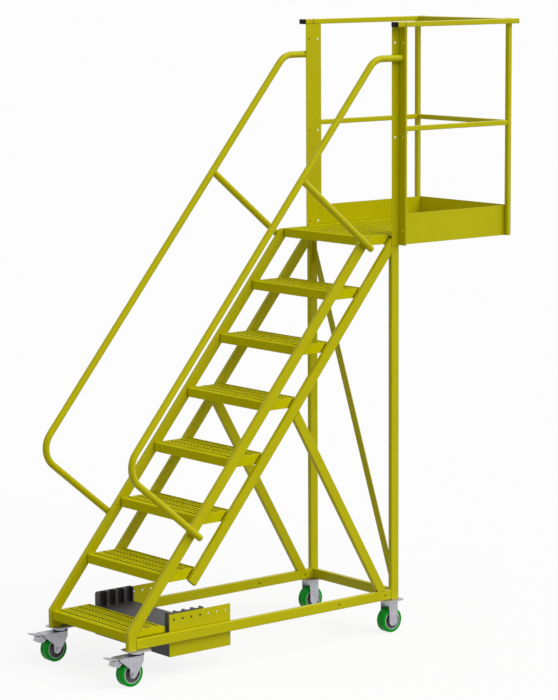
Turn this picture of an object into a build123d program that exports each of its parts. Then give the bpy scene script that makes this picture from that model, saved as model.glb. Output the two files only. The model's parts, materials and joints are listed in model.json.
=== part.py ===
"""Cantilever rolling ladder: a welded tube stair on four casters, with a railed platform
that reaches out past the rear posts and a tray of counterweights behind the first step.

Millimetres. +X is the climber's right, +Y the way the climber faces, +Z up.
The origin is on the floor, under the middle of the whole ladder's box.
"""
import os

from build123d import *

os.makedirs("parts", exist_ok=True)

# Stair
STEP_COUNT = 7
STEP_RISE = 254.0
STEP_RUN = 211.0
STEP_DEPTH = 229.0
STEP_LIP = 45.0
STEP_SET_BACK = 10.0
SHEET = 3.0
NOSE_RADIUS = 5.0
CLEAR_WIDTH = 610.0

# Frame tubes
TUBE_ACROSS = 25.0
TUBE_DEEP = 50.0
TUBE_WALL = 2.5
TUBE_CORNER = 4.0
LEG_RISE = 37.0
STRINGER_GAP = 200.0
STRINGER_TOP_DROP = 4.0
REAR_STRINGER_DROP = 49.0
POST_SET = 14.0
BRACE_SET = 61.0
BRACE_HEIGHT = 1190.0
CROSS_BAR_WIDTH = 38.0
CROSS_BAR_THICK = 5.0
CROSS_BAR_GAP = 4.0
BASE_HOLE_RADIUS = 5.0
BASE_HOLE_SET = 40.0
BASE_HOLE_SPACING = 307.0

# Platform and guard rail
CANTILEVER = 745.0
GUARD_HEIGHT = 1058.0
MID_RAIL_HEIGHT = 528.0
RAIL_ACROSS = 50.0
RAIL_HIGH = 25.0
RAIL_OVERHANG = 28.0
SMALL_TUBE = 25.0
TOE_HEIGHT = 102.0
ANGLE_LEG = 50.0
ANGLE_THICK = 3.0
ANGLE_GAUGE = 29.0
ANGLE_HOLE_RADIUS = 5.5
ANGLE_HOLE_OVER_DECK = 20.0
ANGLE_HOLE_UNDER_MID = 39.0
ANGLE_HOLE_UNDER_TOP = 102.0

# Handrails
HAND_RADIUS = 17.0
HAND_WALL = 3.0
HAND_OFFSET = 518.0
HAND_TOP_DROP = 178.0
HAND_LOW_HEIGHT = 704.0
HAND_STRUT_DROP = 18.0
HAND_OVER = 10.0
HAND_TOP_BEND = 100.0
HAND_LOW_BEND = 110.0
HAND_PAD_RADIUS = 11.0
HAND_COPE_GAP = 0.05

# Counterweights
WEIGHT_COUNT = 4
WEIGHT_HOLE_COUNT = 7
WEIGHT_PITCH = 53.0
WEIGHT_GAP = 1.0
WEIGHT_CLEAR = 25.9
WEIGHT_PLATE_THICK = 6.0
WEIGHT_PLATE_DROP = 75.0
WEIGHT_PLATE_TALL = 208.0
WEIGHT_HOLE_DROP = 28.0
WEIGHT_HOLE_RADIUS = 5.5
WEIGHT_BAR_TALL = 141.0
WEIGHT_EAR_TALL = 74.0
WEIGHT_EAR_THICK = 6.0
WEIGHT_EAR_FLANGE = 32.0

# Casters
WHEEL_RADIUS = 63.5
TYRE_WIDTH = 50.0
TYRE_DEPTH = 16.0
TYRE_ROUND = 5.0
HUB_SIDE_GAP = 1.0
HUB_WEB = 12.0
HUB_RIM = 5.0
HUB_BOSS_RADIUS = 17.0
HUB_SEAT_GAP = 0.1
AXLE_RADIUS = 6.0
AXLE_CLEARANCE = 0.05
AXLE_HEAD_RADIUS = 10.0
AXLE_HEAD = 6.0
TYRE_SIDE_GAP = 6.0
TYRE_TOP_GAP = 14.7
FORK_LEG = 4.0
FORK_BOSS_RADIUS = 20.0
FORK_SHOULDER = 27.0
FORK_FRONT = 119.0
FORK_FRONT_DROP = 3.0
FORK_BACK = 19.0
FORK_BACK_DROP = 21.0
FORK_CROWN = 6.0
SWIVEL_SET = 58.0
SWIVEL_TRAIL = 42.0
SWIVEL_GAP = 0.3
RACE_RADIUS = 36.0
RACE_HIGH = 17.0
KING_PIN_RADIUS = 8.0
CASTER_PLATE = 6.0
CASTER_PLATE_CORNER = 10.0
CASTER_PLATE_X = 102.0
CASTER_PLATE_Y = 114.0
CASTER_IN = 5.0
REAR_LEG_WIDTH = 55.0
REAR_CROWN = 5.0
PEDAL_SIDE_GAP = 9.0
PEDAL_REACH = 178.0
PEDAL_THICK = 5.0
PEDAL_RISE = 14.3

SIDES = (("left", -1), ("right", 1))

# Places that follow from the sizes
SLOPE_RUN = STEP_RUN / STEP_RISE
ALONG = Vector(0, STEP_RUN, STEP_RISE).normalized()
INWARD = Vector(0, STEP_RISE, -STEP_RUN).normalized()
TUBE_LEVEL = TUBE_DEEP / ALONG.Z
HALF_CLEAR = CLEAR_WIDTH / 2
HALF_OUT = HALF_CLEAR + TUBE_ACROSS
TUBE_X = HALF_CLEAR + TUBE_ACROSS / 2
CASTER_X = TUBE_X - CASTER_IN
FORK_GAP = TYRE_WIDTH + 2 * TYRE_SIDE_GAP
PEDAL_WIDTH = FORK_GAP - 2 * PEDAL_SIDE_GAP
CROWN_LOW = 2 * WHEEL_RADIUS + TYRE_TOP_GAP
CROWN_TOP = CROWN_LOW + FORK_CROWN
RACE_LOW = CROWN_TOP + SWIVEL_GAP
PLATE_LOW = RACE_LOW + RACE_HIGH
BASE_HEIGHT = PLATE_LOW + CASTER_PLATE
BASE_TOP = BASE_HEIGHT + TUBE_DEEP
LEG_HEIGHT = BASE_TOP + LEG_RISE
DECK_HEIGHT = STEP_RISE * (STEP_COUNT + 1)
BEAM_TOP = DECK_HEIGHT - SHEET
BEAM_LOW = BEAM_TOP - TUBE_DEEP
RAIL_TOP = DECK_HEIGHT + GUARD_HEIGHT
RAIL_LOW = RAIL_TOP - RAIL_HIGH
MID_RAIL_LEVEL = DECK_HEIGHT + MID_RAIL_HEIGHT
POST_REACH = SLOPE_RUN * (DECK_HEIGHT - LEG_HEIGHT) + STRINGER_GAP - POST_SET
LENGTH_BEHIND_LEG = POST_REACH + TUBE_DEEP + CANTILEVER + RAIL_OVERHANG
LENGTH_AHEAD_OF_LEG = PEDAL_REACH - SWIVEL_SET
FRONT_Y = (LENGTH_AHEAD_OF_LEG - LENGTH_BEHIND_LEG) / 2
POST_Y = FRONT_Y + POST_REACH
JOINT_Y = POST_Y + TUBE_DEEP
DECK_REAR = JOINT_Y + CANTILEVER
RAIL_REAR = DECK_REAR + RAIL_OVERHANG
RAIL_X = HALF_OUT + RAIL_ACROSS / 2
HAND_X = HALF_OUT + ANGLE_THICK + HAND_RADIUS


def front_y(height):
    """Where the front face of the front stringers is at a height."""
    return FRONT_Y + SLOPE_RUN * (height - LEG_HEIGHT)


def along_y(x, y, z):
    """A plane to draw a section on that is then extruded towards the rear."""
    return Plane(origin=(x, y, z), x_dir=(1, 0, 0), z_dir=(0, 1, 0))


def along_x(x, y, z):
    """A plane to draw a section on that is then extruded towards the right."""
    return Plane(origin=(x, y, z), x_dir=(0, 1, 0), z_dir=(1, 0, 0))


def tube_section(plane, across, deep):
    """The section of a rectangular tube, hollow inside its wall."""
    with BuildSketch(plane) as section:
        RectangleRounded(across, deep, TUBE_CORNER)
        inside, corner = (across - 2 * TUBE_WALL, deep - 2 * TUBE_WALL), TUBE_CORNER - TUBE_WALL
        RectangleRounded(*inside, corner, mode=Mode.SUBTRACT)
    return section.sketch


def pipe_section(plane):
    """The section of the round handrail tube."""
    with BuildSketch(plane) as section:
        Circle(HAND_RADIUS)
        Circle(HAND_RADIUS - HAND_WALL, mode=Mode.SUBTRACT)
    return section.sketch


def save(builder, name):
    """Label a finished piece and write it to its own file."""
    builder.part.label = name
    export_step(builder.part, f"parts/{name}.step")


# Front legs, mitred into the front stringers
LEG_MITRE = Plane(
    origin=(0, FRONT_Y, LEG_HEIGHT), x_dir=(1, 0, 0), z_dir=Vector(0, 0, 1) + ALONG
)
with BuildPart() as front_legs:
    for _, sign in SIDES:
        foot = Plane(origin=(sign * TUBE_X, FRONT_Y + TUBE_DEEP / 2, BASE_HEIGHT))
        extrude(tube_section(foot, TUBE_ACROSS, TUBE_DEEP), amount=LEG_HEIGHT)
    split(bisect_by=LEG_MITRE, keep=Keep.BOTTOM)
save(front_legs, "front_legs")

# Base rails with the outrigger holes, and the rail that ties the rear posts
with BuildPart() as base_rails:
    for _, sign in SIDES:
        start = along_y(sign * TUBE_X, FRONT_Y + TUBE_DEEP, BASE_HEIGHT + TUBE_DEEP / 2)
        extrude(tube_section(start, TUBE_ACROSS, TUBE_DEEP), amount=POST_REACH - TUBE_DEEP)
    for hole in range(2):
        hole_y = POST_Y - BASE_HOLE_SET - hole * BASE_HOLE_SPACING
        with Locations(along_x(0, hole_y, BASE_HEIGHT + TUBE_DEEP / 2)):
            Cylinder(BASE_HOLE_RADIUS, 2 * HALF_OUT, mode=Mode.SUBTRACT)
save(base_rails, "base_rails")

with BuildPart() as base_rear_rail:
    start = along_x(-HALF_CLEAR, POST_Y + TUBE_DEEP / 2, BASE_HEIGHT + TUBE_DEEP / 2)
    extrude(tube_section(start, TUBE_ACROSS, TUBE_DEEP), amount=CLEAR_WIDTH)
save(base_rear_rail, "base_rear_rail")

# Rear posts under the platform beams
with BuildPart() as rear_posts:
    for _, sign in SIDES:
        foot = Plane(origin=(sign * TUBE_X, POST_Y + TUBE_DEEP / 2, BASE_HEIGHT))
        extrude(tube_section(foot, TUBE_ACROSS, TUBE_DEEP), amount=BEAM_LOW - BASE_HEIGHT)
save(rear_posts, "rear_posts")

# Front stringers, from the leg mitre to just under the deck
STRINGER_TOP = Plane(origin=(0, 0, DECK_HEIGHT - STRINGER_TOP_DROP))
for side, sign in SIDES:
    with BuildPart() as front_stringer:
        low = Vector(sign * TUBE_X, FRONT_Y, LEG_HEIGHT) + INWARD * (TUBE_DEEP / 2) - ALONG * TUBE_DEEP
        start = Plane(origin=low, x_dir=(1, 0, 0), z_dir=ALONG)
        extrude(tube_section(start, TUBE_ACROSS, TUBE_DEEP), amount=DECK_HEIGHT / ALONG.Z)
        split(bisect_by=LEG_MITRE, keep=Keep.TOP)
        split(bisect_by=STRINGER_TOP, keep=Keep.BOTTOM)
    save(front_stringer, f"front_stringer_{side}")

# Rear stringers, from a square cut under the second step to the rear posts
POST_FRONT = along_y(0, POST_Y, 0)
REAR_STRINGER_LOW = 2 * STEP_RISE - REAR_STRINGER_DROP
for side, sign in SIDES:
    with BuildPart() as rear_stringer:
        low = Vector(sign * TUBE_X, front_y(REAR_STRINGER_LOW) + STRINGER_GAP, REAR_STRINGER_LOW)
        start = Plane(origin=low + INWARD * (TUBE_DEEP / 2), x_dir=(1, 0, 0), z_dir=ALONG)
        extrude(tube_section(start, TUBE_ACROSS, TUBE_DEEP), amount=DECK_HEIGHT / ALONG.Z)
        split(bisect_by=POST_FRONT, keep=Keep.BOTTOM)
    save(rear_stringer, f"rear_stringer_{side}")

# Side braces, from the back of the rear stringers down to the base rails
BRACE_TOP = Vector(0, front_y(BRACE_HEIGHT) + STRINGER_GAP + TUBE_LEVEL, BRACE_HEIGHT)
BRACE_FOOT = Vector(0, POST_Y - BRACE_SET, BASE_TOP)
BRACE_RUN = BRACE_TOP - BRACE_FOOT
with BuildPart() as side_braces:
    for _, sign in SIDES:
        low = BRACE_FOOT + Vector(sign * TUBE_X, 0, 0) - BRACE_RUN.normalized() * TUBE_DEEP
        start = Plane(origin=low, x_dir=(1, 0, 0), z_dir=BRACE_RUN)
        extrude(tube_section(start, TUBE_ACROSS, TUBE_DEEP), amount=BRACE_RUN.length + 2 * TUBE_DEEP)
    split(bisect_by=Plane.XY.offset(BASE_TOP), keep=Keep.TOP)
    split(bisect_by=Plane(origin=BRACE_TOP, x_dir=(1, 0, 0), z_dir=INWARD), keep=Keep.TOP)
save(side_braces, "side_braces")

# One flat bar braces the rear posts corner to corner
CROSS_BAR_LOW = BASE_TOP + CROSS_BAR_GAP
CROSS_BAR_HIGH = BEAM_LOW - CROSS_BAR_GAP
CROSS_BAR_CUT = CROSS_BAR_WIDTH * Vector(CLEAR_WIDTH, CROSS_BAR_HIGH - CROSS_BAR_LOW).length / CLEAR_WIDTH
with BuildPart() as rear_cross_brace:
    with BuildSketch(Plane.XZ.offset(-(POST_Y + TUBE_DEEP / 2 + CROSS_BAR_THICK / 2))):
        with BuildLine():
            Polyline(
                (-HALF_CLEAR, CROSS_BAR_HIGH - CROSS_BAR_CUT),
                (HALF_CLEAR, CROSS_BAR_LOW),
                (HALF_CLEAR, CROSS_BAR_LOW + CROSS_BAR_CUT),
                (-HALF_CLEAR, CROSS_BAR_HIGH),
                close=True,
            )
        make_face()
    extrude(amount=CROSS_BAR_THICK)
save(rear_cross_brace, "rear_cross_brace")

# Steps: sheet pans, open below, with a rounded nose
for number in range(1, STEP_COUNT + 1):
    step_top = number * STEP_RISE
    step_y = front_y(step_top) + STEP_SET_BACK + STEP_DEPTH / 2
    with BuildPart() as step:
        with Locations((0, step_y, step_top - STEP_LIP / 2)):
            Box(CLEAR_WIDTH, STEP_DEPTH, STEP_LIP)
        nose = step.edges().filter_by(Axis.X).group_by(Axis.Z)[-1].sort_by(Axis.Y)[0]
        fillet(nose, radius=NOSE_RADIUS)
        with Locations((0, step_y, step_top - STEP_LIP / 2 - SHEET)):
            Box(CLEAR_WIDTH - 2 * SHEET, STEP_DEPTH - 2 * SHEET, STEP_LIP, mode=Mode.SUBTRACT)
    save(step, f"step_{number}")

# Platform deck: narrow between the stringers, then as wide as the beams under it
DECK_FRONT = front_y(DECK_HEIGHT) + STEP_SET_BACK
DECK_NECK = POST_Y - DECK_FRONT
with BuildPart() as platform_deck:
    with Locations((0, DECK_FRONT + DECK_NECK / 2, DECK_HEIGHT - STEP_LIP / 2)):
        Box(CLEAR_WIDTH, DECK_NECK, STEP_LIP)
    nose = platform_deck.edges().filter_by(Axis.X).group_by(Axis.Z)[-1].sort_by(Axis.Y)[0]
    fillet(nose, radius=NOSE_RADIUS)
    with Locations((0, DECK_FRONT + DECK_NECK / 2 + SHEET, DECK_HEIGHT - STEP_LIP / 2 - SHEET)):
        Box(CLEAR_WIDTH - 2 * SHEET, DECK_NECK, STEP_LIP, mode=Mode.SUBTRACT)
    with Locations((0, (POST_Y + DECK_REAR) / 2, DECK_HEIGHT - SHEET / 2)):
        Box(2 * HALF_OUT, DECK_REAR - POST_Y, SHEET)
save(platform_deck, "platform_deck")

# Beams that carry the deck past the rear posts, and the bearers between them
with BuildPart() as platform_beams:
    for _, sign in SIDES:
        start = along_y(sign * TUBE_X, POST_Y, BEAM_LOW + TUBE_DEEP / 2)
        extrude(tube_section(start, TUBE_ACROSS, TUBE_DEEP), amount=DECK_REAR - POST_Y)
save(platform_beams, "platform_beams")

BEARER_FIRST = POST_Y + TUBE_ACROSS / 2
BEARER_LAST = DECK_REAR - TUBE_ACROSS / 2
with BuildPart() as platform_bearers:
    for bearer_y in (BEARER_FIRST, (BEARER_FIRST + BEARER_LAST) / 2, BEARER_LAST):
        start = along_x(-HALF_CLEAR, bearer_y, BEAM_LOW + TUBE_DEEP / 2)
        extrude(tube_section(start, TUBE_ACROSS, TUBE_DEEP), amount=CLEAR_WIDTH)
save(platform_bearers, "platform_bearers")

# Toe boards on the outside of the beams
TOE_START = JOINT_Y + ANGLE_LEG
TOE_TALL = DECK_HEIGHT + TOE_HEIGHT - BEAM_LOW
TOE_LEVEL = BEAM_LOW + TOE_TALL / 2
TOE_END = DECK_REAR + SHEET
for side, sign in SIDES:
    with BuildPart() as toe_board:
        with Locations((sign * (HALF_OUT + SHEET / 2), (TOE_START + TOE_END) / 2, TOE_LEVEL)):
            Box(SHEET, TOE_END - TOE_START, TOE_TALL)
    save(toe_board, f"toe_board_{side}")

with BuildPart() as toe_board_rear:
    with Locations((0, DECK_REAR + SHEET / 2, TOE_LEVEL)):
        Box(2 * HALF_OUT, SHEET, TOE_TALL)
save(toe_board_rear, "toe_board_rear")

# Two angles stand back to back on each side: the entry post ends the handrail, and the
# guard post behind it starts the guard rail
ANGLE_POSTS = (("entry_post", -1), ("guard_post", 1))
ANGLE_HOLE_LEVELS = (
    DECK_HEIGHT + ANGLE_HOLE_OVER_DECK,
    MID_RAIL_LEVEL - ANGLE_HOLE_UNDER_MID,
    RAIL_TOP - ANGLE_HOLE_UNDER_TOP,
)
for side, sign in SIDES:
    for post_name, way in ANGLE_POSTS:
        with BuildPart() as angle_post:
            with BuildSketch(Plane.XY.offset(BEAM_LOW)):
                with Locations((sign * (HALF_OUT + ANGLE_THICK / 2), JOINT_Y + way * ANGLE_LEG / 2)):
                    Rectangle(ANGLE_THICK, ANGLE_LEG)
                with Locations((sign * (HALF_OUT + ANGLE_LEG / 2), JOINT_Y + way * ANGLE_THICK / 2)):
                    Rectangle(ANGLE_LEG, ANGLE_THICK)
            extrude(amount=RAIL_LOW - BEAM_LOW)
            for hole_level in ANGLE_HOLE_LEVELS:
                with Locations(along_x(sign * HALF_OUT, JOINT_Y + way * ANGLE_GAUGE, hole_level)):
                    Cylinder(ANGLE_HOLE_RADIUS, 4 * ANGLE_THICK, mode=Mode.SUBTRACT)
                with Locations(along_y(sign * (HALF_OUT + ANGLE_GAUGE), JOINT_Y, hole_level)):
                    Cylinder(ANGLE_HOLE_RADIUS, 4 * ANGLE_THICK, mode=Mode.SUBTRACT)
        save(angle_post, f"{post_name}_{side}")

# Top rail: a stub over each entry post, then three sides round the platform
RAIL_LEVEL = RAIL_LOW + RAIL_HIGH / 2
with BuildPart() as rail_stubs:
    for _, sign in SIDES:
        start = along_y(sign * RAIL_X, JOINT_Y - ANGLE_LEG, RAIL_LEVEL)
        extrude(tube_section(start, RAIL_ACROSS, RAIL_HIGH), amount=ANGLE_LEG)
save(rail_stubs, "rail_stubs")

for side, sign in SIDES:
    with BuildPart() as top_rail:
        start = along_y(sign * RAIL_X, JOINT_Y, RAIL_LEVEL)
        extrude(tube_section(start, RAIL_ACROSS, RAIL_HIGH), amount=RAIL_REAR - JOINT_Y)
    save(top_rail, f"top_rail_{side}")

with BuildPart() as top_rail_rear:
    start = along_x(-HALF_OUT, RAIL_REAR - RAIL_ACROSS / 2, RAIL_LEVEL)
    extrude(tube_section(start, RAIL_ACROSS, RAIL_HIGH), amount=2 * HALF_OUT)
save(top_rail_rear, "top_rail_rear")

# Corner posts and the mid rail between them
CORNER_X = HALF_OUT + SHEET + SMALL_TUBE / 2
CORNER_Y = TOE_END - SMALL_TUBE / 2
with BuildPart() as corner_posts:
    for _, sign in SIDES:
        foot = Plane(origin=(sign * CORNER_X, CORNER_Y, BEAM_LOW))
        extrude(tube_section(foot, SMALL_TUBE, SMALL_TUBE), amount=RAIL_LOW - BEAM_LOW)
save(corner_posts, "corner_posts")

MID_RAIL_START = JOINT_Y + ANGLE_THICK
MID_RAIL_END = CORNER_Y - SMALL_TUBE / 2
for side, sign in SIDES:
    with BuildPart() as mid_rail:
        start = along_y(sign * (HALF_OUT + ANGLE_THICK + SMALL_TUBE / 2), MID_RAIL_START, MID_RAIL_LEVEL)
        extrude(tube_section(start, SMALL_TUBE, SMALL_TUBE), amount=MID_RAIL_END - MID_RAIL_START)
    save(mid_rail, f"mid_rail_{side}")

with BuildPart() as mid_rail_rear:
    start = along_x(-(HALF_OUT + SHEET), CORNER_Y, MID_RAIL_LEVEL)
    extrude(tube_section(start, SMALL_TUBE, SMALL_TUBE), amount=2 * (HALF_OUT + SHEET))
save(mid_rail_rear, "mid_rail_rear")

# Handrails: level at the entry post, down beside the stringers, then square back to them
HAND_LEVEL = RAIL_TOP - HAND_TOP_DROP
HAND_SHIFT = HAND_OFFSET / ALONG.Z
HAND_PAST = TUBE_DEEP + HAND_OVER
HAND_END_Y = JOINT_Y - ANGLE_THICK
HAND_BEND_Y = front_y(HAND_LEVEL) - HAND_SHIFT
PAD_LENGTH = ANGLE_THICK + 2 * HAND_WALL


def stringer_point(side_sign, height, depth):
    """A point beside a front stringer, at a depth square to its front face."""
    return Vector(side_sign * HAND_X, front_y(height), height) + INWARD * depth


def pad_plane(side_sign, height):
    """Where the pad of a tube that crosses the stringer starts, on the stringer's outer face."""
    seat = stringer_point(side_sign, height, TUBE_DEEP / 2)
    return Plane(origin=(side_sign * HALF_OUT, seat.Y, seat.Z), x_dir=(0, 1, 0), z_dir=(side_sign, 0, 0))


for side, sign in SIDES:
    with BuildPart() as handrail:
        with BuildLine() as path:
            FilletPolyline(
                Vector(sign * HAND_X, HAND_END_Y, HAND_LEVEL),
                Vector(sign * HAND_X, HAND_BEND_Y, HAND_LEVEL),
                stringer_point(sign, HAND_LOW_HEIGHT, -HAND_OFFSET),
                stringer_point(sign, HAND_LOW_HEIGHT, HAND_PAST),
                radius=[HAND_TOP_BEND, HAND_LOW_BEND],
            )
        sweep(pipe_section(Plane(origin=path.line @ 0, z_dir=path.line % 0)), path=path.line)
        with BuildSketch(pad_plane(sign, HAND_LOW_HEIGHT)):
            Circle(HAND_PAD_RADIUS)
        extrude(amount=PAD_LENGTH)
    save(handrail, f"handrail_{side}")

# A strut from each handrail square to the top of the front stringer
STRUT_HEIGHT = DECK_HEIGHT - HAND_STRUT_DROP
with BuildPart() as handrail_struts:
    for _, sign in SIDES:
        strut_top = stringer_point(sign, STRUT_HEIGHT, -HAND_OFFSET)
        start = Plane(origin=strut_top, x_dir=(1, 0, 0), z_dir=INWARD)
        extrude(pipe_section(start), amount=HAND_OFFSET + HAND_PAST)
        with BuildSketch(pad_plane(sign, STRUT_HEIGHT)):
            Circle(HAND_PAD_RADIUS)
        extrude(amount=PAD_LENGTH)
        with Locations(Plane(origin=strut_top, x_dir=(1, 0, 0), z_dir=ALONG)):
            Cylinder(HAND_RADIUS + HAND_COPE_GAP, 4 * HAND_RADIUS, mode=Mode.SUBTRACT)
save(handrail_struts, "handrail_struts")

# Counterweight tray: a drilled plate inside each base rail
SWIVEL_Y = FRONT_Y + SWIVEL_SET
SWIVEL_SWEEP = Vector(PEDAL_REACH, PEDAL_WIDTH / 2).length
FIRST_STEP_REAR = front_y(STEP_RISE) + STEP_SET_BACK + STEP_DEPTH
WEIGHT_START = max(SWIVEL_Y + SWIVEL_SWEEP, FIRST_STEP_REAR) + WEIGHT_CLEAR
WEIGHT_PLATE_LOW = BASE_HEIGHT - WEIGHT_PLATE_DROP
WEIGHT_HOLE_Y = WEIGHT_START + WEIGHT_PITCH / 2
WEIGHT_HOLE_LEVEL = WEIGHT_PLATE_LOW + WEIGHT_PLATE_TALL - WEIGHT_HOLE_DROP
WEIGHT_PLATE_LONG = WEIGHT_PITCH * WEIGHT_HOLE_COUNT
with BuildPart() as counterweight_plates:
    for _, sign in SIDES:
        with Locations((
            sign * (HALF_CLEAR - WEIGHT_PLATE_THICK / 2),
            WEIGHT_START + WEIGHT_PLATE_LONG / 2,
            WEIGHT_PLATE_LOW + WEIGHT_PLATE_TALL / 2,
        )):
            Box(WEIGHT_PLATE_THICK, WEIGHT_PLATE_LONG, WEIGHT_PLATE_TALL)
    for hole in range(WEIGHT_HOLE_COUNT):
        with Locations(along_x(0, WEIGHT_HOLE_Y + hole * WEIGHT_PITCH, WEIGHT_HOLE_LEVEL)):
            Cylinder(WEIGHT_HOLE_RADIUS, CLEAR_WIDTH, mode=Mode.SUBTRACT)
save(counterweight_plates, "counterweight_plates")

# Counterweights: bars across the tray, each with a channel ear at both ends
WEIGHT_HALF = HALF_CLEAR - WEIGHT_PLATE_THICK
WEIGHT_WIDE = WEIGHT_PITCH - WEIGHT_GAP
WEIGHT_BAR_HIGH = WEIGHT_PLATE_LOW + WEIGHT_BAR_TALL
with BuildPart() as counterweights:
    for unit in range(WEIGHT_COUNT):
        unit_y = WEIGHT_HOLE_Y + unit * WEIGHT_PITCH
        with Locations((0, unit_y, (WEIGHT_PLATE_LOW + WEIGHT_BAR_HIGH) / 2)):
            Box(2 * WEIGHT_HALF, WEIGHT_WIDE, WEIGHT_BAR_TALL)
        for _, sign in SIDES:
            ear_level = WEIGHT_BAR_HIGH + WEIGHT_EAR_TALL / 2
            with Locations((sign * (WEIGHT_HALF - WEIGHT_EAR_FLANGE / 2), unit_y, ear_level)):
                Box(WEIGHT_EAR_FLANGE, WEIGHT_WIDE, WEIGHT_EAR_TALL)
            hollow_x = WEIGHT_HALF - WEIGHT_EAR_THICK - WEIGHT_EAR_FLANGE / 2
            with Locations((sign * hollow_x, unit_y, ear_level)):
                ear_inside = WEIGHT_WIDE - 2 * WEIGHT_EAR_THICK
                Box(WEIGHT_EAR_FLANGE, ear_inside, WEIGHT_EAR_TALL, mode=Mode.SUBTRACT)
        with Locations(along_x(0, unit_y, WEIGHT_HOLE_LEVEL)):
            Cylinder(WEIGHT_HOLE_RADIUS, CLEAR_WIDTH, mode=Mode.SUBTRACT)
save(counterweights, "counterweights")

# Caster places
FRONT_WHEEL_Y = SWIVEL_Y - SWIVEL_TRAIL
REAR_WHEEL_Y = POST_Y
FORK_WIDE = FORK_GAP + 2 * FORK_LEG

# Front caster plates, each with its swivel race and king pin bore
with BuildPart() as front_caster_plates:
    for _, sign in SIDES:
        with BuildSketch(Plane(origin=(sign * CASTER_X, SWIVEL_Y, PLATE_LOW))):
            RectangleRounded(CASTER_PLATE_X, CASTER_PLATE_Y, CASTER_PLATE_CORNER)
        extrude(amount=CASTER_PLATE)
        with BuildSketch(Plane(origin=(sign * CASTER_X, SWIVEL_Y, RACE_LOW))):
            Circle(RACE_RADIUS)
        extrude(amount=RACE_HIGH)
        with BuildSketch(Plane(origin=(sign * CASTER_X, SWIVEL_Y, RACE_LOW))):
            Circle(KING_PIN_RADIUS + AXLE_CLEARANCE)
        extrude(amount=RACE_HIGH + CASTER_PLATE, mode=Mode.SUBTRACT)
save(front_caster_plates, "front_caster_plates")

# Front forks: two tapered legs under a crown, with the king pin on top
FORK_OUTLINE = (
    (SWIVEL_Y - FORK_FRONT, CROWN_TOP),
    (SWIVEL_Y + FORK_BACK, CROWN_TOP),
    (SWIVEL_Y + FORK_BACK, CROWN_LOW - FORK_BACK_DROP),
    (FRONT_WHEEL_Y + 0.8 * FORK_BOSS_RADIUS, WHEEL_RADIUS - 0.6 * FORK_BOSS_RADIUS),
    (FRONT_WHEEL_Y - FORK_BOSS_RADIUS, WHEEL_RADIUS),
    (FRONT_WHEEL_Y - FORK_BOSS_RADIUS, WHEEL_RADIUS + FORK_SHOULDER),
    (SWIVEL_Y - FORK_FRONT, CROWN_LOW - FORK_FRONT_DROP),
)
for side, sign in SIDES:
    with BuildPart() as front_fork:
        with BuildSketch(Plane.YZ.offset(sign * CASTER_X - FORK_WIDE / 2)):
            with BuildLine():
                Polyline(*FORK_OUTLINE, close=True)
            make_face()
            with Locations((FRONT_WHEEL_Y, WHEEL_RADIUS)):
                Circle(FORK_BOSS_RADIUS)
        extrude(amount=FORK_WIDE)
        with Locations((sign * CASTER_X, SWIVEL_Y, CROWN_LOW / 2)):
            Box(FORK_GAP, 4 * FORK_FRONT, CROWN_LOW, mode=Mode.SUBTRACT)
        with BuildSketch(Plane(origin=(sign * CASTER_X, SWIVEL_Y, CROWN_TOP))):
            Circle(KING_PIN_RADIUS)
        extrude(amount=BASE_HEIGHT - SWIVEL_GAP - CROWN_TOP)
        with BuildSketch(along_x(sign * CASTER_X - FORK_WIDE / 2, FRONT_WHEEL_Y, WHEEL_RADIUS)):
            Circle(AXLE_RADIUS)
        extrude(amount=FORK_WIDE, mode=Mode.SUBTRACT)
    save(front_fork, f"front_fork_{side}")

# Brake pedals: a toe tongue and a release tab, bent from one strip under the crown.
# Each row is the distance ahead of the fork's front edge, then the height over the crown's underside.
PEDAL_ROOT_Y = SWIVEL_Y - FORK_FRONT
PEDAL_TIP = PEDAL_REACH - FORK_FRONT
PEDAL_PROFILE = (
    (-30.0, 0.0),
    (0.0, 0.0),
    (6.0, PEDAL_THICK),
    (PEDAL_TIP, PEDAL_RISE),
    (PEDAL_TIP, PEDAL_RISE - PEDAL_THICK),
    (8.0, -2.0),
    (21.0, -5.0),
    (29.0, -29.0),
    (-1.0, -37.0),
    (-21.0, -22.0),
    (-30.0, -12.0),
)
PEDAL_OUTLINE = [(PEDAL_ROOT_Y - ahead, CROWN_LOW + over) for ahead, over in PEDAL_PROFILE]
for side, sign in SIDES:
    with BuildPart() as brake_pedal:
        with BuildSketch(Plane.YZ.offset(sign * CASTER_X - PEDAL_WIDTH / 2)):
            with BuildLine():
                Polyline(*PEDAL_OUTLINE, close=True)
            make_face()
        extrude(amount=PEDAL_WIDTH)
    save(brake_pedal, f"brake_pedal_{side}")

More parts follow.
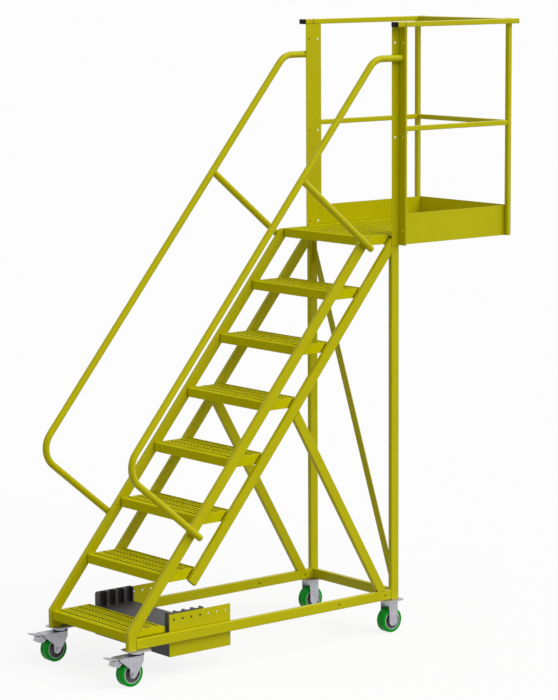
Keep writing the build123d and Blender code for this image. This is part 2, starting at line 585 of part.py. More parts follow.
# Rear casters: a plate and two straight legs with round ends, in one piece each
with BuildPart() as rear_forks:
    for _, sign in SIDES:
        with BuildSketch(Plane(origin=(sign * CASTER_X, REAR_WHEEL_Y, PLATE_LOW))):
            RectangleRounded(CASTER_PLATE_X, CASTER_PLATE_Y, CASTER_PLATE_CORNER)
        extrude(amount=CASTER_PLATE)
        for leg in (-1, 1):
            leg_x = sign * CASTER_X + leg * (FORK_GAP + FORK_LEG) / 2 - FORK_LEG / 2
            with BuildSketch(Plane.YZ.offset(leg_x)):
                with Locations((REAR_WHEEL_Y, WHEEL_RADIUS)):
                    Circle(REAR_LEG_WIDTH / 2)
                with Locations((REAR_WHEEL_Y, (WHEEL_RADIUS + PLATE_LOW) / 2)):
                    Rectangle(REAR_LEG_WIDTH, PLATE_LOW - WHEEL_RADIUS)
                with Locations((REAR_WHEEL_Y, WHEEL_RADIUS)):
                    Circle(AXLE_RADIUS, mode=Mode.SUBTRACT)
            extrude(amount=FORK_LEG)
        with Locations((sign * CASTER_X, REAR_WHEEL_Y, PLATE_LOW - REAR_CROWN / 2)):
            Box(FORK_WIDE, REAR_LEG_WIDTH, REAR_CROWN)
save(rear_forks, "rear_forks")


def axle_pin(x, y):
    """A pin across a fork, flush with its outer faces."""
    with BuildPart() as pin:
        with BuildSketch(along_x(x - FORK_WIDE / 2, y, WHEEL_RADIUS)):
            Circle(AXLE_RADIUS)
        extrude(amount=FORK_WIDE)
    return pin.part


for side, sign in SIDES:
    with BuildPart() as front_axle:
        add(axle_pin(sign * CASTER_X, FRONT_WHEEL_Y))
        for face_x in (sign * CASTER_X - FORK_WIDE / 2 - AXLE_HEAD, sign * CASTER_X + FORK_WIDE / 2):
            with BuildSketch(along_x(face_x, FRONT_WHEEL_Y, WHEEL_RADIUS)):
                RegularPolygon(AXLE_HEAD_RADIUS, 6)
            extrude(amount=AXLE_HEAD)
    save(front_axle, f"front_axle_{side}")

with BuildPart() as rear_axles:
    for _, sign in SIDES:
        add(axle_pin(sign * CASTER_X, REAR_WHEEL_Y))
save(rear_axles, "rear_axles")

# Wheels: a cast hub with a dished web, and a tyre bonded round it
HUB_RADIUS = WHEEL_RADIUS - TYRE_DEPTH
HUB_LENGTH = FORK_GAP - 2 * HUB_SIDE_GAP
WHEELS = (("front", FRONT_WHEEL_Y), ("rear", REAR_WHEEL_Y))
for end, wheel_y in WHEELS:
    for side, sign in SIDES:
        with BuildPart() as tyre:
            with BuildSketch(along_x(sign * CASTER_X - TYRE_WIDTH / 2, wheel_y, WHEEL_RADIUS)):
                Circle(WHEEL_RADIUS)
            extrude(amount=TYRE_WIDTH)
            fillet(tyre.edges().filter_by(GeomType.CIRCLE), radius=TYRE_ROUND)
            with BuildSketch(along_x(sign * CASTER_X - TYRE_WIDTH / 2, wheel_y, WHEEL_RADIUS)):
                Circle(HUB_RADIUS + HUB_SEAT_GAP)
            extrude(amount=TYRE_WIDTH, mode=Mode.SUBTRACT)
        save(tyre, f"{end}_tyre_{side}")

        with BuildPart() as hub:
            with BuildSketch(along_x(sign * CASTER_X - TYRE_WIDTH / 2, wheel_y, WHEEL_RADIUS)):
                Circle(HUB_RADIUS)
                Circle(HUB_RADIUS - HUB_RIM, mode=Mode.SUBTRACT)
            extrude(amount=TYRE_WIDTH)
            with BuildSketch(along_x(sign * CASTER_X - HUB_WEB / 2, wheel_y, WHEEL_RADIUS)):
                Circle(HUB_RADIUS - HUB_RIM / 2)
            extrude(amount=HUB_WEB)
            with BuildSketch(along_x(sign * CASTER_X - HUB_LENGTH / 2, wheel_y, WHEEL_RADIUS)):
                Circle(HUB_BOSS_RADIUS)
            extrude(amount=HUB_LENGTH)
            with BuildSketch(along_x(sign * CASTER_X - HUB_LENGTH / 2, wheel_y, WHEEL_RADIUS)):
                Circle(AXLE_RADIUS + AXLE_CLEARANCE)
            extrude(amount=HUB_LENGTH, mode=Mode.SUBTRACT)
        save(hub, f"{end}_hub_{side}")
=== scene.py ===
"""Looks of the cantilever rolling ladder: paint, slotted treads, caps, welds and caster detail."""
import json
import math
from collections import namedtuple

import bmesh
import bpy
from mathutils import Matrix, Vector


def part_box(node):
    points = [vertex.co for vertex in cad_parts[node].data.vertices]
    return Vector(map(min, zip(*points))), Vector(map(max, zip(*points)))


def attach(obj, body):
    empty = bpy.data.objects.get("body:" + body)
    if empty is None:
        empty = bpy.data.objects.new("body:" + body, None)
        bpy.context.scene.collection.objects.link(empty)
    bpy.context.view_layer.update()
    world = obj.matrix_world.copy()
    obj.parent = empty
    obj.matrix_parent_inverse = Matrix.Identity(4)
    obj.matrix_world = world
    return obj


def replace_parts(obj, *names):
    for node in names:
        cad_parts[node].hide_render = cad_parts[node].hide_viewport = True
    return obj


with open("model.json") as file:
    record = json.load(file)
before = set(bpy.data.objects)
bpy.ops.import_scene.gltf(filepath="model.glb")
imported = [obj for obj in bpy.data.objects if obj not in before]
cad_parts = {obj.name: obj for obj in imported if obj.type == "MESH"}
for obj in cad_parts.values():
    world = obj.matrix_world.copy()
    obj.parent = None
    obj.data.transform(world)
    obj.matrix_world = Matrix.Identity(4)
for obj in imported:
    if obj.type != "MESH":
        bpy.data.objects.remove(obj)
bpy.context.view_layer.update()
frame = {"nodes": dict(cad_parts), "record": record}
nodes = frame["nodes"]

MM = 0.001
WHITE = (1.0, 1.0, 1.0)
SIDES = (("left", -1), ("right", 1))
STEP_COUNT = 7


# Materials

# Noise scales, in cells per metre
TINT_SCALE = 3.5
SCUFF_SCALE = 55.0
PEEL_SCALE = 700.0
CLOUD_SCALE = 45.0
DRAWN_SCALE = 260.0
MOTTLE_SCALE = 30.0
# The span of noise values that each pattern stretches over its full range
TINT_SPAN = (0.35, 0.65)
RUB_SPAN, RUB_AMOUNT = (0.35, 0.6), (0.2, 0.8)
CLOUD_SPAN = (0.3, 0.7)
MOTTLE_SPAN = (0.35, 0.7)
GRAIN_SPAN = (0.3, 0.7)
# How far roughness swings below and above its middle
PAINT_SWING = (-0.06, 0.08)
METAL_SWING = (-0.08, 0.1)
MOULD_SWING = (-0.05, 0.1)
# How well a bevelled normal agrees with the true one off an edge and on it
EDGE_NONE, EDGE_FULL = 0.98, 0.75
EDGE_SAMPLES = 4
HOLLOW_SAMPLES = 6
METAL = 0.85
METAL_EDGE = 0.8 * MM
PEEL_HEIGHT, DRAWN_HEIGHT, MOULD_HEIGHT = 0.3 * MM, 0.2 * MM, 0.3 * MM
PEEL_STRENGTH, DRAWN_STRENGTH = 0.12, 0.08

Coat = namedtuple("Coat", "colour shade edge_colour edge_reach grime")
# How far the painted shade in hollows looks for walls, and how open a spot is where it starts and where it is
# full
HollowShade = namedtuple("HollowShade", "distance open_at deep_at")


def start_material(name, roughness, metallic=0.0, gloss=0.5, gloss_tint=WHITE):
    """A new node material and its shader, with object coordinates ready."""
    material = bpy.data.materials.new(name)
    material.use_nodes = True
    tree = material.node_tree
    shader = tree.nodes["Principled BSDF"]
    shader.inputs["Roughness"].default_value = roughness
    shader.inputs["Metallic"].default_value = metallic
    shader.inputs["Specular IOR Level"].default_value = gloss
    shader.inputs["Specular Tint"].default_value = (*gloss_tint, 1.0)
    coords = tree.nodes.new("ShaderNodeTexCoord")
    return material, tree, shader, coords.outputs["Object"]


def add_noise(tree, coords, scale, detail=3.0, stretch=None):
    """A noise pattern of a scale per metre; stretch squeezes it along the axes."""
    if stretch:
        mapping = tree.nodes.new("ShaderNodeMapping")
        mapping.inputs["Scale"].default_value = stretch
        tree.links.new(coords, mapping.inputs["Vector"])
        coords = mapping.outputs["Vector"]
    noise = tree.nodes.new("ShaderNodeTexNoise")
    noise.inputs["Scale"].default_value = scale
    noise.inputs["Detail"].default_value = detail
    tree.links.new(coords, noise.inputs["Vector"])
    return noise.outputs["Fac"]


def add_range(tree, value, low, high, to_low=0.0, to_high=1.0):
    """A value mapped from one range to another."""
    node = tree.nodes.new("ShaderNodeMapRange")
    tree.links.new(value, node.inputs["Value"])
    numbers = {"From Min": low, "From Max": high, "To Min": to_low, "To Max": to_high}
    for socket, number in numbers.items():
        node.inputs[socket].default_value = number
    return node.outputs["Result"]


def add_math(tree, operation, first, second):
    """Two values joined by an operation and kept between 0 and 1."""
    node = tree.nodes.new("ShaderNodeMath")
    node.operation = operation
    node.use_clamp = True
    tree.links.new(first, node.inputs[0])
    tree.links.new(second, node.inputs[1])
    return node.outputs["Value"]


def add_mix(tree, factor, first, second):
    """Two colours mixed by a factor; either may be a colour or a socket."""
    mix = tree.nodes.new("ShaderNodeMix")
    mix.data_type = "RGBA"
    tree.links.new(factor, mix.inputs["Factor"])
    for socket, colour in ((mix.inputs["A"], first), (mix.inputs["B"], second)):
        if isinstance(colour, tuple):
            socket.default_value = (*colour, 1.0)
        else:
            tree.links.new(colour, socket)
    return mix.outputs["Result"]


def add_edge(tree, radius):
    """How much a spot lies on an edge, and the normal that rounds the edge off."""
    bevel = tree.nodes.new("ShaderNodeBevel")
    bevel.samples = EDGE_SAMPLES
    bevel.inputs["Radius"].default_value = radius
    geometry = tree.nodes.new("ShaderNodeNewGeometry")
    dot = tree.nodes.new("ShaderNodeVectorMath")
    dot.operation = "DOT_PRODUCT"
    tree.links.new(bevel.outputs["Normal"], dot.inputs[0])
    tree.links.new(geometry.outputs["Normal"], dot.inputs[1])
    return add_range(tree, dot.outputs["Value"], EDGE_NONE, EDGE_FULL), bevel.outputs["Normal"]


def add_hollow_shade(tree, hollow_shade):
    """How deep a spot lies in a corner or a slot: the mask for painted shade there."""
    node = tree.nodes.new("ShaderNodeAmbientOcclusion")
    node.samples = HOLLOW_SAMPLES
    node.inputs["Distance"].default_value = hollow_shade.distance
    return add_range(tree, node.outputs["AO"], hollow_shade.open_at, hollow_shade.deep_at)


def add_bump(tree, shader, height, strength, distance, normal=None):
    """A bump on the shader, over an edge normal where there is one."""
    bump = tree.nodes.new("ShaderNodeBump")
    bump.inputs["Strength"].default_value = strength
    bump.inputs["Distance"].default_value = distance
    tree.links.new(height, bump.inputs["Height"])
    if normal:
        tree.links.new(normal, bump.inputs["Normal"])
    tree.links.new(bump.outputs["Normal"], shader.inputs["Normal"])


def vary_roughness(tree, shader, pattern, roughness, swing):
    """Roughness that swings about its middle with a noise pattern."""
    smoothest, roughest = roughness + swing[0], roughness + swing[1]
    value = add_range(tree, pattern, *GRAIN_SPAN, smoothest, roughest)
    tree.links.new(value, shader.inputs["Roughness"])


def painted(name, coat, hollow_shade, roughness, gloss, gloss_tint=WHITE):
    """Powder coat: slow tint, an orange-peel skin, scuffs in the gloss, rubbed edges partly lightened as a
    painted highlight, and painted shade in hollows.
    """
    material, tree, shader, coords = start_material(name, roughness, gloss=gloss, gloss_tint=gloss_tint)
    tint = add_range(tree, add_noise(tree, coords, TINT_SCALE), *TINT_SPAN)
    scuff = add_noise(tree, coords, SCUFF_SCALE, detail=6.0)
    edge, edge_normal = add_edge(tree, coat.edge_reach)
    # Edges are lightened: partly worn paint, partly a painted highlight
    rubbed_and_lit = add_math(tree, "MULTIPLY", edge, add_range(tree, scuff, *RUB_SPAN, *RUB_AMOUNT))
    body = add_mix(tree, tint, coat.colour, coat.shade)
    body = add_mix(tree, rubbed_and_lit, body, coat.edge_colour)
    # Painted shade: corners and slots darken towards the coat's painted shade colour
    body = add_mix(tree, add_hollow_shade(tree, hollow_shade), body, coat.grime)
    tree.links.new(body, shader.inputs["Base Color"])
    vary_roughness(tree, shader, scuff, roughness, PAINT_SWING)
    peel = add_noise(tree, coords, PEEL_SCALE, detail=2.0)
    add_bump(tree, shader, peel, PEEL_STRENGTH, PEEL_HEIGHT, edge_normal)
    return material


def plated(name, colour, shade, roughness, grain):
    """Zinc plate or bare metal: cloudy tone, fine drawn grain and rounded edges."""
    material, tree, shader, coords = start_material(name, roughness, metallic=METAL)
    cloud = add_range(tree, add_noise(tree, coords, CLOUD_SCALE, detail=5.0), *CLOUD_SPAN)
    lines = add_noise(tree, coords, DRAWN_SCALE, detail=2.0, stretch=grain)
    _, edge_normal = add_edge(tree, METAL_EDGE)
    tree.links.new(add_mix(tree, cloud, colour, shade), shader.inputs["Base Color"])
    vary_roughness(tree, shader, lines, roughness, METAL_SWING)
    add_bump(tree, shader, lines, DRAWN_STRENGTH, DRAWN_HEIGHT, edge_normal)
    return material


def moulded(name, colour, shade, roughness, gloss, grain_scale, bump, gloss_tint=WHITE):
    """Moulded rubber or plastic: slight mottle and a matt grain."""
    material, tree, shader, coords = start_material(name, roughness, gloss=gloss, gloss_tint=gloss_tint)
    mottle = add_range(tree, add_noise(tree, coords, MOTTLE_SCALE, detail=5.0), *MOTTLE_SPAN)
    grain = add_noise(tree, coords, grain_scale)
    tree.links.new(add_mix(tree, mottle, colour, shade), shader.inputs["Base Color"])
    vary_roughness(tree, shader, grain, roughness, MOULD_SWING)
    add_bump(tree, shader, grain, bump, MOULD_HEIGHT)
    return material


# Painted shade: an occlusion mask darkens corners and slots, standing in for the shade that falls there
CORNER_PAINTED_SHADE = HollowShade(distance=7.0 * MM, open_at=0.6, deep_at=0.2)
SLOT_PAINTED_SHADE = HollowShade(distance=16.0 * MM, open_at=0.78, deep_at=0.5)
# The yellow's lighter edge colour is partly worn paint and partly a painted highlight along the edges
YELLOW_COAT = Coat(
    colour=(0.615, 0.570, 0.0006),
    shade=(0.585, 0.538, 0.0006),
    edge_colour=(0.68, 0.64, 0.02),
    edge_reach=1.6 * MM,
    grime=(0.03, 0.026, 0.0),
)
# The treads' coat is a lighter copy of the yellow paint: painted light that lifts the treads' tone against
# their painted slot shade
TREAD_COAT = Coat(
    colour=(0.69, 0.645, 0.0006),
    shade=(0.65, 0.60, 0.0006),
    edge_colour=(0.72, 0.68, 0.02),
    edge_reach=1.6 * MM,
    grime=(0.02, 0.017, 0.0),
)
# The grey's pale edge colour is a painted highlight on the flange edges that catch the light, with some wear
GREY_COAT = Coat(
    colour=(0.066, 0.063, 0.071),
    shade=(0.055, 0.052, 0.060),
    edge_colour=(0.62, 0.61, 0.55),
    edge_reach=3.0 * MM,
    grime=(0.02, 0.02, 0.021),
)
HUB_COAT = Coat(
    colour=(0.26, 0.23, 0.26),
    shade=(0.20, 0.175, 0.205),
    edge_colour=(0.5, 0.5, 0.5),
    edge_reach=1.6 * MM,
    grime=(0.05, 0.045, 0.05),
)
YELLOW_SHINE = (1.0, 0.95, 0.3)
GREEN_SHINE = (0.25, 1.0, 0.35)
YELLOW = painted(
    "yellow_paint", YELLOW_COAT, CORNER_PAINTED_SHADE, roughness=0.34, gloss=0.3, gloss_tint=YELLOW_SHINE,
)
TREAD = painted(
    "yellow_tread", TREAD_COAT, SLOT_PAINTED_SHADE, roughness=0.62, gloss=0.05, gloss_tint=YELLOW_SHINE,
)
DARK_GREY = painted("dark_grey_paint", GREY_COAT, CORNER_PAINTED_SHADE, roughness=0.5, gloss=0.4)
HUB = painted("grey_hub", HUB_COAT, CORNER_PAINTED_SHADE, roughness=0.5, gloss=0.3)
ZINC = plated(
    "zinc_steel",
    colour=(0.52, 0.52, 0.56),
    shade=(0.40, 0.40, 0.44),
    roughness=0.42,
    grain=(1.0, 1.0, 0.12),
)
DARK_STEEL = plated(
    "dark_steel",
    colour=(0.03, 0.03, 0.033),
    shade=(0.02, 0.02, 0.022),
    roughness=0.55,
    grain=(1.0, 1.0, 0.3),
)
RIM = moulded(
    "rim_edge",
    colour=(0.62, 0.70, 0.62),
    shade=(0.54, 0.62, 0.54),
    roughness=0.4,
    gloss=0.4,
    grain_scale=300.0,
    bump=0.05,
)
GREEN = moulded(
    "green_tyre",
    colour=(0.0, 0.37, 0.015),
    shade=(0.0, 0.31, 0.013),
    roughness=0.45,
    gloss=0.3,
    grain_scale=400.0,
    bump=0.1,
    gloss_tint=GREEN_SHINE,
)
BLACK = moulded(
    "black_plastic",
    colour=(0.008, 0.008, 0.009),
    shade=(0.014, 0.014, 0.015),
    roughness=0.6,
    gloss=0.15,
    grain_scale=900.0,
    bump=0.15,
)

SLOT_MATERIALS = {
    "yellow_paint": YELLOW,
    "dark_grey_paint": DARK_GREY,
    "zinc_steel": ZINC,
    "green_tyre": GREEN,
    "grey_hub": HUB,
}
for subpart in frame["record"]["subparts"]:
    mesh = nodes[subpart["node"]].data
    mesh.materials.clear()
    mesh.materials.append(SLOT_MATERIALS[subpart["material_slot"]])


# Mesh helpers

JOIN_REACH = 0.01 * MM
SMOOTH_ANGLE = 40.0
CRISP_ANGLE = 25.0
CORNER_PARTS = 6
QUARTERS = ((1, 1), (-1, 1), (-1, -1), (1, -1))


def smooth(mesh, angle):
    """Smooth shading, sharp where faces meet at more than an angle."""
    mesh.shade_smooth()
    mesh.set_sharp_from_angle(angle=math.radians(angle))


def make_piece(name, verts, faces, material, body, closed=True, smooth_angle=SMOOTH_ANGLE):
    """A mesh piece from vertices and faces, joined where they meet, riding on a body."""
    mesh = bpy.data.meshes.new(name)
    mesh.from_pydata(verts, [], faces)
    shape = bmesh.new()
    shape.from_mesh(mesh)
    bmesh.ops.remove_doubles(shape, verts=shape.verts, dist=JOIN_REACH)
    if closed:
        bmesh.ops.recalc_face_normals(shape, faces=shape.faces)
    shape.to_mesh(mesh)
    shape.free()
    smooth(mesh, smooth_angle)
    mesh.materials.append(material)
    piece = bpy.data.objects.new(name, mesh)
    bpy.context.scene.collection.objects.link(piece)
    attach(piece, body)
    return piece


def add_loops(verts, faces, loops, ends="flat"):
    """Rings of points, skinned in order, with flat ends, open ends or the last ring joined to the first."""
    first = len(verts)
    count = len(loops[0])
    for loop in loops:
        verts.extend(loop)
    spans = len(loops) if ends == "joined" else len(loops) - 1
    for ring in range(spans):
        here = first + ring * count
        there = first + (ring + 1) % len(loops) * count
        for i in range(count):
            j = (i + 1) % count
            faces.append((here + i, here + j, there + j, there + i))
    if ends == "flat":
        faces.append(tuple(first + i for i in reversed(range(count))))
        faces.append(tuple(first + (len(loops) - 1) * count + i for i in range(count)))


def add_grid(verts, faces, rows):
    """A patch of quads over rows of points."""
    first = len(verts)
    count = len(rows[0])
    for row in rows:
        verts.extend(row)
    for r in range(len(rows) - 1):
        for c in range(count - 1):
            a = first + r * count + c
            faces.append((a, a + 1, a + count + 1, a + count))


def axis_frame(axis):
    """An axis and two directions square to it."""
    axis = Vector(axis).normalized()
    side = axis.orthogonal().normalized()
    return axis, side, axis.cross(side)


def circle(centre, side, other, radius, segments):
    """Points round a circle in the plane of two directions."""
    points = []
    for i in range(segments):
        angle = 2 * math.pi * i / segments
        points.append(centre + (side * math.cos(angle) + other * math.sin(angle)) * radius)
    return points


def lathe(verts, faces, origin, axis, profile, segments=40, ends="flat"):
    """A profile of (radius, height) rows turned about an axis."""
    axis, side, other = axis_frame(axis)
    loops = []
    for radius, height in profile:
        loops.append(circle(Vector(origin) + axis * height, side, other, radius, segments))
    add_loops(verts, faces, loops, ends)


def rounded_outline(half_x, half_z, corner, centre):
    """The outline of a rounded rectangle that faces along Y."""
    points = []
    for quarter, (sx, sz) in enumerate(QUARTERS):
        for part in range(CORNER_PARTS + 1):
            angle = math.pi / 2 * (quarter + part / CORNER_PARTS)
            x = sx * (half_x - corner) + corner * math.cos(angle)
            z = sz * (half_z - corner) + corner * math.sin(angle)
            points.append(centre + Vector((x, 0.0, z)))
    return points


# Slotted treads: one folded sheet each, with rimmed slots in rows and staggered smaller ones between them

SHEET = 3.0 * MM
CELL_WIDE = 26.0 * MM
CELL_COLUMNS = 22
CELL_PARTS = 4
PART_X = CELL_WIDE / CELL_PARTS
CELLS_LEFT = -CELL_COLUMNS * CELL_WIDE / 2
FRONT_MARGIN = 13.0 * MM
STEP_ROWS = 7
NOSE_RADIUS = 5.0 * MM
NOSE_SEGMENTS = 6
# A cell of tread: its depth, its opening's straight half length and radius, and the rows of its raised rim.
# A rim row is how far it stands out from the opening, and its height over the tread.
Cell = namedtuple("Cell", "deep straight radius rim")
SLOT_CELL = Cell(
    deep=30.0 * MM,
    straight=3.6 * MM,
    radius=6.6 * MM,
    rim=((2.1 * MM, 0.0), (0.8 * MM, 1.6 * MM), (0.0, 1.3 * MM)),
)
SMALL_CELL = Cell(
    deep=27.0 * MM,
    straight=3.2 * MM,
    radius=3.8 * MM,
    rim=((2.1 * MM, 0.0), (0.8 * MM, 1.3 * MM), (0.0, 1.1 * MM)),
)


def cell_edge(half_x, half_y):
    """Points round a cell, four to a side, so that staggered rows meet point to point."""
    corners = ((-1, -1), (1, -1), (1, 1), (-1, 1))
    points = []
    for (ax, ay), (bx, by) in zip(corners, corners[1:] + corners[:1]):
        for part in range(CELL_PARTS):
            t = part / CELL_PARTS
            points.append((half_x * (ax + (bx - ax) * t), half_y * (ay + (by - ay) * t)))
    return points


def add_cell(verts, faces, cell, centre_x, centre_y, top):
    """One cell of tread with a rimmed opening through it."""
    half_x = CELL_WIDE / 2
    edge = cell_edge(half_x, cell.deep / 2)
    loops = [[Vector((centre_x + x, centre_y + y, top)) for x, y in edge]]
    for out, rise in cell.rim:
        loop = []
        for x, y in edge:
            middle = max(-cell.straight, min(cell.straight, 2 * x / half_x * cell.straight))
            way = Vector((x - middle, y)).normalized() * (cell.radius + out)
            loop.append(Vector((centre_x + middle + way.x, centre_y + way.y, top + rise)))
        loops.append(loop)
    add_loops(verts, faces, loops, ends="open")


def flat_rows(xs, ys, top):
    """Rows of points on a level."""
    return [[Vector((x, y, top)) for x in xs] for y in ys]


def add_slots(verts, faces, start, rows, top):
    """Rows of large and small slots in turn, the small ones between plain half cells.

    Gives the points along the rows.
    """
    ys = [start]
    for row in range(rows):
        odd = row % 2
        cell = SMALL_CELL if odd else SLOT_CELL
        row_y = ys[-1] + cell.deep / 2
        row_ys = [ys[-1] + part * cell.deep / CELL_PARTS for part in range(CELL_PARTS + 1)]
        for column in range(CELL_COLUMNS - odd):
            cell_x = CELLS_LEFT + (column + 0.5 + 0.5 * odd) * CELL_WIDE
            add_cell(verts, faces, cell, cell_x, row_y, top)
        if odd:
            for x in (CELLS_LEFT, -CELLS_LEFT - 2 * PART_X):
                add_grid(verts, faces, flat_rows([x, x + PART_X, x + 2 * PART_X], row_ys, top))
        ys += row_ys[1:]
    return ys


def lip_rows(xs, edge_y, top, low, way):
    """Rows of points from a tread's edge over its nose and down its lip."""
    rows = []
    for i in range(NOSE_SEGMENTS + 1):
        angle = math.pi / 2 * i / NOSE_SEGMENTS
        y = edge_y + way * NOSE_RADIUS * (1 - math.sin(angle))
        z = top - NOSE_RADIUS * (1 - math.cos(angle))
        rows.append([Vector((x, y, z)) for x in xs])
    rows.append([Vector((x, edge_y, low)) for x in xs])
    return rows


def add_flange(verts, faces, sign, half, ys, top, low):
    """A tread's side flange, folded down along its edge."""
    levels = (low, top) if sign > 0 else (top, low)
    add_grid(verts, faces, [[Vector((sign * half, y, z)) for y in ys] for z in levels])


def sheet_piece(name, verts, faces):
    """A folded sheet given its thickness below and inside its drawn face."""
    piece = make_piece(name, verts, faces, TREAD, "frame", closed=False)
    sheet = piece.modifiers.new("sheet", "SOLIDIFY")
    sheet.thickness = SHEET
    sheet.offset = -1.0
    sheet.use_even_offset = True
    sheet.use_quality_normals = True
    graph = bpy.context.evaluated_depsgraph_get()
    piece.data = bpy.data.meshes.new_from_object(piece.evaluated_get(graph))
    piece.modifiers.clear()
    smooth(piece.data, SMOOTH_ANGLE)
    return piece


def add_tread(verts, faces, half, y0, y1, start, rows, top):
    """The flat of a tread: openings inside plain margins. Gives the points across it and along its edge."""
    xs = [CELLS_LEFT + i * PART_X for i in range(CELL_COLUMNS * CELL_PARTS + 1)]
    xs = [-half] + xs + [half]
    ys = add_slots(verts, faces, start, rows, top)
    add_grid(verts, faces, flat_rows(xs, [y0, ys[0]], top))
    add_grid(verts, faces, flat_rows(xs, [ys[-1], y1], top))
    for edge in (xs[:2], xs[-2:]):
        add_grid(verts, faces, flat_rows(edge, ys, top))
    return xs, [y0] + ys + [y1]


for number in range(1, STEP_COUNT + 1):
    low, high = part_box(f"step_{number}")
    y0, y1 = low.y + NOSE_RADIUS, high.y - NOSE_RADIUS
    verts, faces = [], []
    xs, ys = add_tread(verts, faces, high.x, y0, y1, y0 + FRONT_MARGIN, STEP_ROWS, high.z)
    add_grid(verts, faces, lip_rows(xs, low.y, high.z, low.z, 1)[::-1])
    add_grid(verts, faces, lip_rows(xs, high.y, high.z, low.z, -1))
    for _, sign in SIDES:
        add_flange(verts, faces, sign, high.x, ys, high.z, low.z)
    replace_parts(sheet_piece(f"tread_{number}", verts, faces), f"step_{number}")

# Platform deck: the same slots, narrow between the stringers and full width behind the rear posts

DECK_ROWS = 33
# The neck ends in the middle of the sixth row of slots
NECK_DEEP = 3 * SLOT_CELL.deep + 2.5 * SMALL_CELL.deep
NECK_PARTS = 5 * CELL_PARTS + CELL_PARTS // 2
low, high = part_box("platform_deck")
neck_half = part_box("step_1")[1].x
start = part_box("rear_posts")[0].y - NECK_DEEP
verts, faces = [], []
xs, ys = add_tread(verts, faces, neck_half, low.y + NOSE_RADIUS, high.y, start, DECK_ROWS, high.z)
add_grid(verts, faces, lip_rows(xs, low.y, high.z, low.z, 1)[::-1])
neck_ys, wide_ys = ys[:NECK_PARTS + 2], ys[NECK_PARTS + 1:]
for _, sign in SIDES:
    wide_xs = sorted((sign * neck_half, sign * high.x))
    add_flange(verts, faces, sign, neck_half, neck_ys, high.z, low.z)
    add_grid(verts, faces, flat_rows(wide_xs, wide_ys, high.z))
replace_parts(sheet_piece("deck_tread", verts, faces), "platform_deck")


# Rail ends: black caps at the front and rear, and a dark joint band behind each stub

RAIL_HALF_X, RAIL_HALF_Z, RAIL_CORNER = 25.0 * MM, 12.5 * MM, 4.0 * MM
# Each row of a cap: how far it stands out of the tube, and how far its outline grows
CAP_ROWS = ((0.0, 0.0), (2.8 * MM, 0.0), (3.6 * MM, -0.4 * MM), (4.0 * MM, -1.4 * MM))
BAND_HALF, BAND_OUT, BAND_SINK = 1.5 * MM, 0.35 * MM, -1.0 * MM
# Each row of a joint band: its place along the rail, and how far its outline grows
BAND_ROWS = ((-BAND_HALF, BAND_OUT), (BAND_HALF, BAND_OUT), (BAND_HALF, BAND_SINK), (-BAND_HALF, BAND_SINK))
stub_low, stub_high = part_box("rail_stubs")
rail_x = stub_high.x - RAIL_HALF_X
rail_level = (stub_low.z + stub_high.z) / 2
rail_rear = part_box("top_rail_left")[1].y


def rail_loop(sign, y, grow):
    """The outline of a top rail at a place along it, grown or shrunk."""
    centre = Vector((sign * rail_x, y, rail_level))
    return rounded_outline(RAIL_HALF_X + grow, RAIL_HALF_Z + grow, RAIL_CORNER + grow, centre)


for side, sign in SIDES:
    for end, end_y, way in (("front", stub_low.y, -1), ("rear", rail_rear, 1)):
        verts, faces = [], []
        add_loops(verts, faces, [rail_loop(sign, end_y + way * out, grow) for out, grow in CAP_ROWS])
        make_piece(f"rail_cap_{end}_{side}", verts, faces, BLACK, "frame")
    loops = [rail_loop(sign, stub_high.y + along, grow) for along, grow in BAND_ROWS]
    verts, faces = [], []
    add_loops(verts, faces, loops, ends="joined")
    make_piece(f"rail_joint_{side}", verts, faces, BLACK, "frame")

# Domed plugs in the lower ends of the handrails and their struts

HAND_X = 350.0 * MM
# The way that the lower ends point, out of the tubes
HAND_END_WAY = Vector((0.0, 0.76921, -0.63899))
# Each pair of open ends: its name, its place along Y and its height
HAND_ENDS = (("handrail", -764.69 * MM, 665.66 * MM), ("strut", 323.539 * MM, 1975.66 * MM))
# Each row of a plug: its radius, and how far it stands out of the tube
PLUG_PROFILE = (
    (13.5 * MM, -9.0 * MM),
    (13.9 * MM, -8.0 * MM),
    (13.9 * MM, 0.0),
    (17.0 * MM, 0.0),
    (16.8 * MM, 2.2 * MM),
    (15.7 * MM, 5.0 * MM),
    (13.4 * MM, 7.6 * MM),
    (9.6 * MM, 9.8 * MM),
    (5.0 * MM, 11.0 * MM),
    (1.0 * MM, 11.4 * MM),
)
for kind, end_y, end_z in HAND_ENDS:
    for side, sign in SIDES:
        verts, faces = [], []
        lathe(verts, faces, (sign * HAND_X, end_y, end_z), HAND_END_WAY, PLUG_PROFILE)
        make_piece(f"{kind}_plug_{side}", verts, faces, YELLOW, "frame")


# Weld beads where the tubes meet

BEAD_RADIUS = 2.6 * MM
BEAD_STEP = 3.2 * MM
BEAD_SIDES = 8
# A bead's size at its crests, between them and at its two ends
BEAD_CREST, BEAD_DIP, BEAD_END = 1.0, 0.82, 0.4
# Where a step's bead starts and ends behind the front of the step
STEP_BEAD = (8.0 * MM, 46.0 * MM)
PLACE_DIGITS = 4


def add_bead(verts, faces, start, end):
    """A rippled weld bead along a straight joint."""
    axis, side, other = axis_frame(end - start)
    length = (end - start).length
    rings = 2 * max(2, round(length / BEAD_STEP))
    loops = []
    for ring in range(rings + 1):
        swell = BEAD_CREST if ring % 2 else BEAD_DIP
        if ring in (0, rings):
            swell = BEAD_END
        centre = start + axis * (length * ring / rings)
        loops.append(circle(centre, side, other, BEAD_RADIUS * swell, BEAD_SIDES))
    add_loops(verts, faces, loops)


